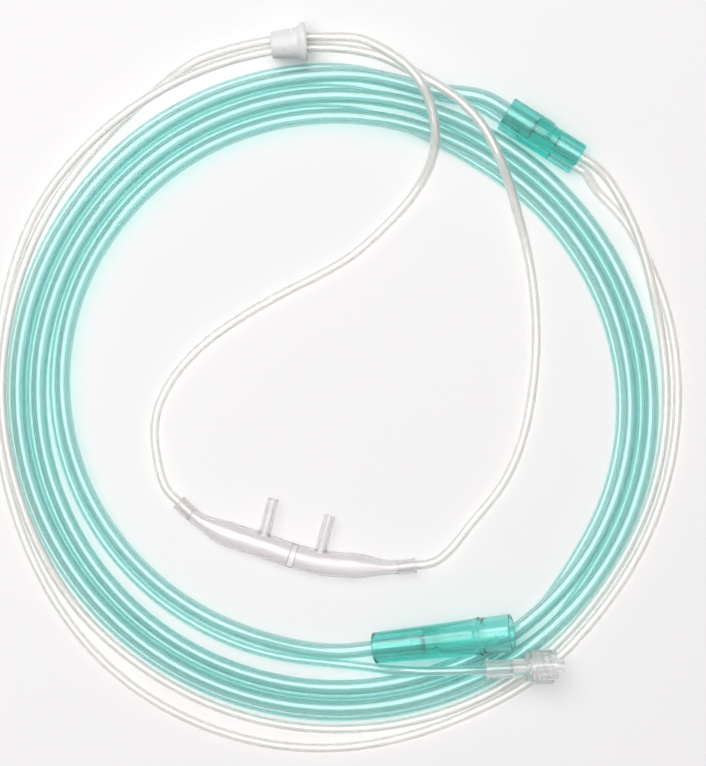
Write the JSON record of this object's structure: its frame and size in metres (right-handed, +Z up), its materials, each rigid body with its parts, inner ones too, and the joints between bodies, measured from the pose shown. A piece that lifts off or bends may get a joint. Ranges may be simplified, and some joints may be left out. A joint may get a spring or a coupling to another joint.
{
  "type": "nasal cannula set",
  "caption": "Coiled nasal cannula set with oxygen and breath sampling tubes, two-prong nasal piece, slider, split connector, funnel connector and locking luer.",
  "frame": {"origin": "centre of the set's own box on the surface that it lies on", "axes": "+Z up from that surface; +Y from the nasal piece towards the slider; +X from the slider towards the split connector"},
  "size_m": [0.2218, 0.2337, 0.0206],
  "materials": {
    "clear_moulding": "clear soft vinyl, glossy",
    "clear_tube": "clear extruded vinyl, glossy",
    "milky_slider": "milky translucent polyethylene, satin",
    "green_moulding": "transparent green vinyl moulding, glossy",
    "green_tube": "transparent green extruded vinyl, glossy",
    "clear_rigid": "clear rigid acrylic moulding, glossy"
  },
  "bodies": {
    "cannula_set": {"nasal_piece": "clear_moulding", "oxygen_lariat_tube": "clear_tube", "sampling_lariat_tube": "clear_tube", "split_connector": "green_moulding", "oxygen_tube": "green_tube", "sampling_tube": "green_tube", "oxygen_funnel": "green_moulding", "luer_body": "clear_rigid"},
    "slider": {"slider": "milky_slider"},
    "luer_collar": {"luer_collar": "clear_rigid"}
  },
  "joints": [
    {"name": "slider_travel", "type": "hinge", "parent": "cannula_set", "child": "slider", "pos_m": [-0.0055, 0.0086, 0.00645], "axis": [0, 0, 1], "range_deg": [-4, 13]},
    {"name": "luer_collar_spin", "type": "hinge", "parent": "cannula_set", "child": "luer_collar", "pos_m": [0.0471, -0.0892, 0.0119], "axis": [0.9968, 0.04, -0.0698], "continuous": true}
  ]
}
